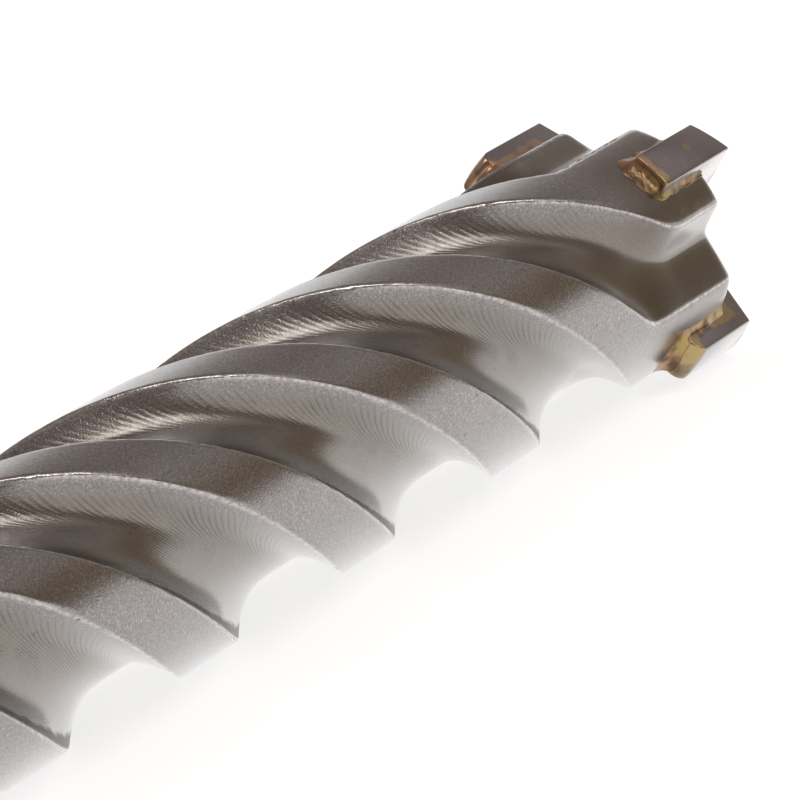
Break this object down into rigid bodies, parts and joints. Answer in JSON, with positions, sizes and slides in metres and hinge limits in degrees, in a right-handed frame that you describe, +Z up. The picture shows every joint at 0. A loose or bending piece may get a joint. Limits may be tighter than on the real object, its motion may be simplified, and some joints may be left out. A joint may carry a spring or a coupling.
{
  "type": "masonry drill bit",
  "caption": "Four-cutter masonry drill bit with spiral flutes, brazed carbide plates and a slotted hammer-drill shank.",
  "frame": {"origin": "centre of the shank's rear face, where the hammer strikes", "axes": "+X along the bit's axis towards the cutting point, +Z up with the bit lying at rest, the cross of cutting plates at 45 degrees to the ground"},
  "size_m": [0.32, 0.0211, 0.0212],
  "materials": {
    "blasted_steel": "blasted, satin",
    "carbide": "sintered, dark satin",
    "braze": "as brazed, with heat tints"
  },
  "bodies": {
    "root": {"steel_body": "blasted_steel", "main_cutting_plate": "carbide", "side_cutting_plate_1": "carbide", "side_cutting_plate_2": "carbide", "main_plate_braze": "braze", "side_plate_braze_1": "braze", "side_plate_braze_2": "braze"}
  },
  "joints": []
}
